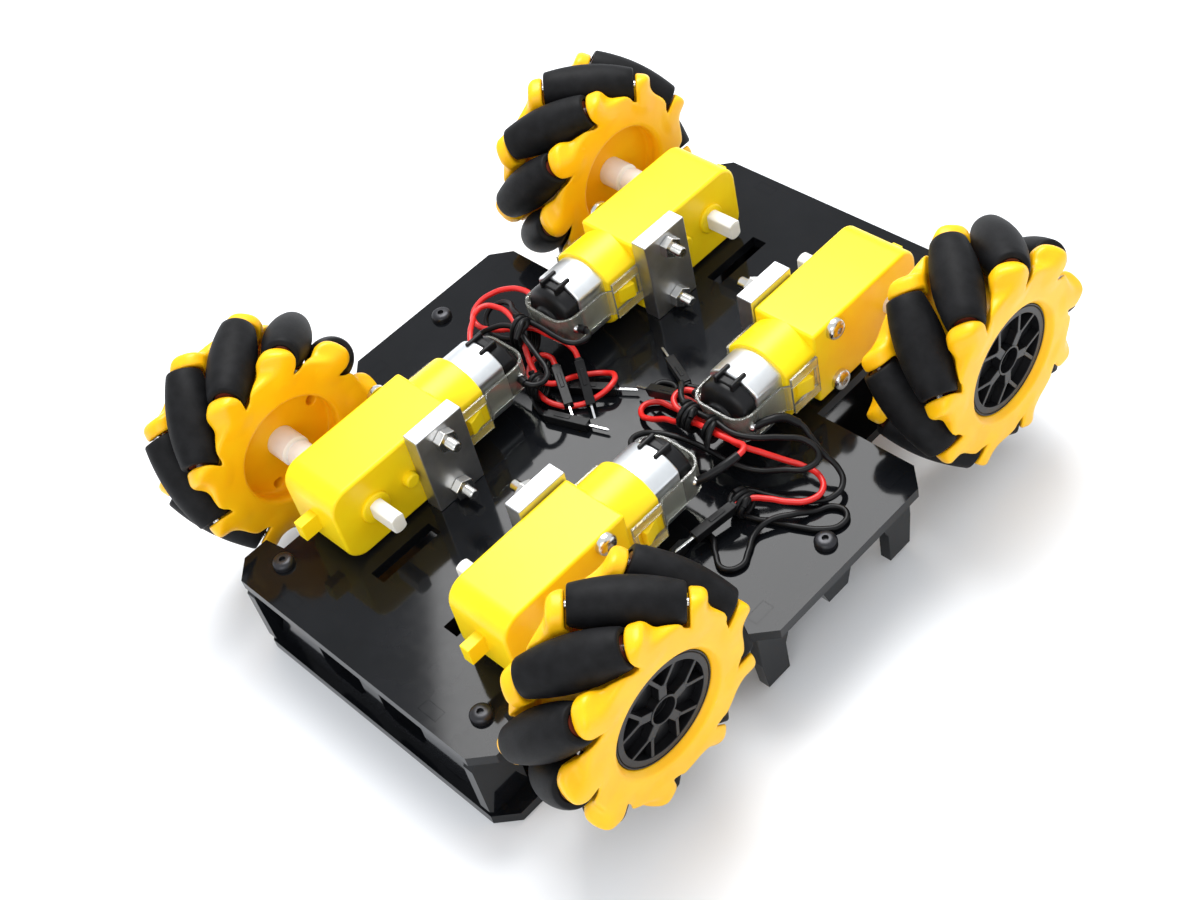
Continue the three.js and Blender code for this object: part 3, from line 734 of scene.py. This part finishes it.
for corner, (sx, sy, turn) in CORNERS.items():
    body = f"wheel_{corner}"
    matrix = wheel_place(turn)
    spider = place(f"spider_{corner}", to_corner(moved(SPIDER_SKIN, matrix), sx, sy), SPIDER,
                   body, soft=60)
    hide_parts(f"wheel_frame_{corner}")
    place(f"hub_insert_{corner}",
          to_corner(moved(insert_shapes(), wheel_place(ARM_ANGLES[corner])), sx, sy), INSERT,
          body, bevel=0.15, segments=2)
    pins = joined(*[moved(lathe([(0, -14.5), (1, -14.5), (1, 14.5), (0, 14.5)], 12),
                          roller_place(turn, i)) for i in range(ROLLERS)])
    place(f"pins_{corner}", to_corner(pins, sx, sy), NICKEL, body)
    # Nylon shaft with two flats at its free end, and the stepped sleeve that takes the wheel.
    flat = [(max(-1.85, min(1.85, y)) + AXLE_Y, z + AXLE_Z) for y, z in circle(0, 0, 2.7, 48)]
    shaft = joined(
        prism_x(flat, 11.3, 9.6),
        turned_x([(0, 20.0), (2.5, 20.0), (2.5, 48.0), (0, 48.0)], 0, AXLE_Y, AXLE_Z))
    place(f"shaft_{corner}", to_corner(shaft, sx, sy), NYLON, body, bevel=0.35)
    sleeve = turned_x([(0, 45.5), (3.3, 45.5), (3.6, 45.8), (3.6, 50.0), (3.2, 50.2), (3.2, 50.8),
                       (3.8, 51.0), (4.1, 51.3), (4.1, 58.6), (0, 58.6)], 0, AXLE_Y, AXLE_Z, 48)
    place(f"sleeve_{corner}", to_corner(sleeve, sx, sy), NYLON, body, soft=40)


# ---------------------------------------------------------------- gear motors
FRONT = AXLE_Y + 11.2
BOX_BACK = AXLE_Y - 28.0
NECK_BACK = AXLE_Y - 38.3
CAN_BACK = AXLE_Y - 47.2
CAP_BACK = AXLE_Y - 53.5
CAN_SIDE = 7.55
CAP_SIDE = 7.05
BLOCK_HEIGHT = 25
BLOCK_THICK = 5.0
NUT_THICK = 2.4
STRAP_SHEET = 0.8
STRAP_HALF = 4.0
TAB_HALF = 5.8


def rounded_box_outline():
    r = 5.5
    low, high = AXLE_Z - GEARBOX_HEIGHT / 2, AXLE_Z + GEARBOX_HEIGHT / 2
    points = [(BOX_BACK, low)]
    for centre_z, start in ((low + r, -90), (high - r, 0)):
        for k in range(9):
            a = math.radians(start + 90 * k / 8)
            points.append((FRONT - r + r * math.cos(a), centre_z + r * math.sin(a)))
    points.append((BOX_BACK, high))
    return points


def flatted(radius, flats, sides):
    return [(MOTOR_X + max(-flats / 2, min(flats / 2, x)), AXLE_Z + z)
            for x, z in circle(0, 0, radius, sides)]


def gearbox_shapes():
    box = prism_x(rounded_box_outline(), INNER_FACE, GEARBOX_WIDTH)
    neck = prism_y(flatted(GEARBOX_HEIGHT / 2, GEARBOX_WIDTH - 0.4, 72), NECK_BACK, 11.3)
    tab = prism_x([(FRONT - 1, AXLE_Z - 2.6), (FRONT + 5, AXLE_Z - 2.6),
                   (FRONT + 5, AXLE_Z + 2.6), (FRONT - 1, AXLE_Z + 2.6)], MOTOR_X - 1.5, 3.0)
    boss = turned_x([(0, INNER_FACE - 2), (1.6, INNER_FACE - 2), (2.0, INNER_FACE - 1.6),
                     (2.0, INNER_FACE + 1), (0, INNER_FACE + 1)], 0, AXLE_Y - 11, AXLE_Z, 32)
    collar = turned_x([(0, INNER_FACE - 0.9), (3.9, INNER_FACE - 0.9), (4.2, INNER_FACE - 0.6),
                       (4.2, INNER_FACE + 0.5), (0, INNER_FACE + 0.5)], 0, AXLE_Y, AXLE_Z, 40)
    return box, neck, tab, boss, collar


def cap_shapes():
    """The black end cap: a domed disc, its bearing boss, and two prongs beside a notch."""
    dome = [(0, 6.3), (8.9, 6.3), (8.9, 3.4), (8.5, 2.4), (7.4, 1.6), (5.4, 1.2), (4.4, 1.1),
            (4.1, 0), (0, 0)]
    turned, faces = lathe(dome, 56)
    verts = [(MOTOR_X + max(-CAP_SIDE, min(CAP_SIDE, x)), CAP_BACK + y, AXLE_Z + z)
             for x, y, z in turned]
    prongs = []
    for side in (-1, 1):
        x0 = MOTOR_X + side * 2.5 - 0.55
        prongs.append(prism_y([(x0, AXLE_Z + 7.2), (x0 + 1.1, AXLE_Z + 7.2),
                               (x0 + 1.1, AXLE_Z + 10.5), (x0, AXLE_Z + 10.5)],
                              CAN_BACK - 3.0, 5.4))
    bridge = prism_y([(MOTOR_X - 2.5, AXLE_Z + 6.6), (MOTOR_X + 2.5, AXLE_Z + 6.6),
                      (MOTOR_X + 2.5, AXLE_Z + 9.4), (MOTOR_X - 2.5, AXLE_Z + 9.4)],
                     CAN_BACK - 2.4, 2.2)
    return joined((verts, faces), bridge, *prongs)


def terminal_shapes():
    """The two solder tags, standing out of the cap's flat sides."""
    tags = []
    for side in (-1, 1):
        x0 = MOTOR_X + side * 7.9 - 1.2
        tags.append(prism_x([(CAP_BACK + 2.6, AXLE_Z - 1.3), (CAP_BACK + 3.2, AXLE_Z - 1.3),
                             (CAP_BACK + 3.2, AXLE_Z + 1.3), (CAP_BACK + 2.6, AXLE_Z + 1.3)], x0, 2.4))
        tags.append(turned_x([(0, -0.2), (1.0, 0.1), (1.25, 0.8), (1.0, 1.5), (0, 1.8)],
                             MOTOR_X + side * 8.4 - 0.8, CAP_BACK + 3.0, AXLE_Z, 16))
    return joined(*tags)


def strap_path(offset):
    """Half the strap seen from above, from the neck's side round the cap, as (x, y)."""
    x_tab = GEARBOX_WIDTH / 2 + 0.15 + offset
    x_can = CAN_SIDE + 0.25 + offset
    y_back = CAP_BACK - 0.35 - offset
    y_step = NECK_BACK - 0.4
    r = 4.2 + offset
    turn = [(x_can - r + r * math.cos(a), y_back + r - r * math.sin(a))
            for a in (math.radians(90 * k / 6) for k in range(7))]
    return [(x_tab, BOX_BACK + 0.6), (x_tab, y_step + 0.9), (x_can, y_step - 1.2)] + turn


def strap_shape():
    """A clear band held by two hooked tabs and passing round the motor's end cap."""
    inner, outer = strap_path(0), strap_path(STRAP_SHEET)
    around = [(MOTOR_X + x, y) for x, y in outer[1:]]
    around += [(MOTOR_X - x, y) for x, y in reversed(outer[1:])]
    around += [(MOTOR_X - x, y) for x, y in inner[1:]]
    around += [(MOTOR_X + x, y) for x, y in reversed(inner[1:])]
    shapes = [prism_z(around, AXLE_Z - STRAP_HALF, 2 * STRAP_HALF)]
    for side in (-1, 1):
        x0 = MOTOR_X + side * (inner[0][0] + STRAP_SHEET / 2) - STRAP_SHEET / 2
        y0, y1 = NECK_BACK + 0.4, BOX_BACK - 0.2
        for low, high in ((AXLE_Z - TAB_HALF, AXLE_Z - 3.0), (AXLE_Z + 3.0, AXLE_Z + TAB_HALF)):
            shapes.append(prism_x([(y0, low), (y1, low), (y1, high), (y0, high)], x0, STRAP_SHEET))
        shapes.append(prism_x([(y1 - 1.2, AXLE_Z - 3.2), (y1, AXLE_Z - 3.2), (y1, AXLE_Z + 3.2),
                               (y1 - 1.2, AXLE_Z + 3.2)], x0, STRAP_SHEET))
    return joined(*shapes)


def hook_shapes():
    """The sloping hooks on the neck that the strap's windows snap over."""
    hooks = []
    for side in (-1, 1):
        face = GEARBOX_WIDTH / 2 - 0.5
        ramp_outline = [(face, NECK_BACK + 2.4), (face + 0.9, NECK_BACK + 2.4),
                        (face + 2.2, NECK_BACK + 6.2), (face + 2.2, NECK_BACK + 7.2),
                        (face, NECK_BACK + 7.2)]
        outline = [(MOTOR_X + side * x, y) for x, y in ramp_outline]
        hooks.append(prism_z(outline, AXLE_Z - 2.2, 4.4))
    return joined(*hooks)


def nut(x, y, z):
    return prism_x(circle(y, z, 3.1, 6, 0.4), x, NUT_THICK)


def pan_head(profile_height, radius):
    h, r = profile_height, radius
    return [(0, 0), (r, 0), (r, h * 0.45), (r * 0.93, h * 0.72), (r * 0.75, h * 0.93),
            (r * 0.45, h), (r * 0.3, h), (r * 0.3, h * 0.55), (0, h * 0.55)]


for corner, (sx, sy, _) in CORNERS.items():
    box, neck, tab, boss, collar = gearbox_shapes()
    piece = place(f"gear_case_{corner}", to_corner(box, sx, sy), GEARBOX, "chassis",
                  bevel=0.9, segments=4, angle=40)
    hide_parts(f"gearbox_{corner}")
    place(f"gear_neck_{corner}", to_corner(neck, sx, sy), GEARBOX, "chassis",
          bevel=0.5)
    place(f"gear_details_{corner}", to_corner(joined(tab, boss, collar), sx, sy), GEARBOX,
          "chassis", bevel=0.3)
    can = place(f"can_{corner}", to_corner(
        prism_y(flatted(10.05, 15.1, 72), CAN_BACK, 10.0), sx, sy), ZINC, "chassis",
        bevel=0.7, segments=4)
    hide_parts(f"motor_can_{corner}")
    place(f"can_cap_{corner}", to_corner(cap_shapes(), sx, sy), CAP, "chassis",
          bevel=0.45)
    place(f"terminals_{corner}", to_corner(terminal_shapes(), sx, sy), TIN, "chassis",
          bevel=0.12, segments=2)
    place(f"strap_{corner}", to_corner(strap_shape(), sx, sy), STRAP, "chassis",
          bevel=0.18, segments=2, angle=50)
    place(f"strap_hooks_{corner}", to_corner(hook_shapes(), sx, sy), GEARBOX, "chassis",
          bevel=0.25, segments=2)
    block = prism_x([(AXLE_Y - 28.2, PLATE_TOP), (AXLE_Y - 13.4, PLATE_TOP),
                     (AXLE_Y - 13.4, PLATE_TOP + BLOCK_HEIGHT),
                     (AXLE_Y - 28.2, PLATE_TOP + BLOCK_HEIGHT)],
                    INNER_FACE - BLOCK_THICK, BLOCK_THICK)
    piece = place(f"block_{corner}", to_corner(block, sx, sy), ALUMINIUM, "chassis",
                  bevel=0.35)
    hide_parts(f"mount_block_{corner}")
    screws = []
    nuts = []
    for side in (-1, 1):
        y, z = AXLE_Y - SCREW_BACK, AXLE_Z + side * SCREW_RISE
        screws.append(turned_x([(0, 9.7), (1.2, 9.7), (1.45, 10.0), (1.45, OUTER_FACE),
                                (0, OUTER_FACE)], 0, y, z, 20))
        screws.append(turned_x(pan_head(2.0, 2.8), OUTER_FACE, y, z, 28))
        nuts.append(nut(INNER_FACE - BLOCK_THICK - NUT_THICK, y, z))
    place(f"screws_{corner}", to_corner(joined(*screws), sx, sy), NICKEL, "chassis",
          soft=40)
    place(f"nuts_{corner}", to_corner(joined(*nuts), sx, sy), NICKEL, "chassis",
          bevel=0.25)

# ---------------------------------------------------------------- plate screws
PLATE_SCREWS = [(-36, -82), (-36, 82), (36, -82), (36, 82), (67, 0), (-67, 0)]
for k, (x, y) in enumerate(PLATE_SCREWS):
    place(f"plate_screw_{k + 1}", turned_z(pan_head(1.9, 2.8), x, y, PLATE_TOP, 32),
          BLACK_STEEL, "chassis", soft=40)

# ---------------------------------------------------------------- floor and light
floor_mesh = bpy.data.meshes.new("floor")
floor_mesh.from_pydata([(-4, -4, 0), (4, -4, 0), (4, 4, 0), (-4, 4, 0)], [], [(0, 1, 2, 3)])
floor = bpy.data.objects.new("floor", floor_mesh)
floor_mesh.materials.append(FLOOR)
floor.location.z = -0.0002
bpy.context.scene.collection.objects.link(floor)

world = bpy.data.worlds.new("studio")
world.use_nodes = True
world.node_tree.nodes["Background"].inputs["Color"].default_value = (0.93, 0.96, 1.0, 1)
world.node_tree.nodes["Background"].inputs["Strength"].default_value = 0.95
bpy.context.scene.world = world


def area_light(name, position, target, size, power, color=(1, 1, 1)):
    data = bpy.data.lights.new(name, "AREA")
    data.shape = "RECTANGLE"
    data.size = size[0]
    data.size_y = size[1]
    data.energy = power
    data.color = color
    light = bpy.data.objects.new(name, data)
    light.location = position
    direction = Vector(target) - Vector(position)
    light.rotation_euler = direction.to_track_quat("-Z", "Y").to_euler()
    bpy.context.scene.collection.objects.link(light)


LIT_POINT = (0, 0, 0.03)
area_light("key", (-0.33, 0.34, 0.92), LIT_POINT, (0.6, 0.6), 11)
area_light("fill", (0.5, -0.9, 0.8), LIT_POINT, (0.9, 0.6), 4)

scene = bpy.context.scene
scene.view_settings.view_transform = "Standard"
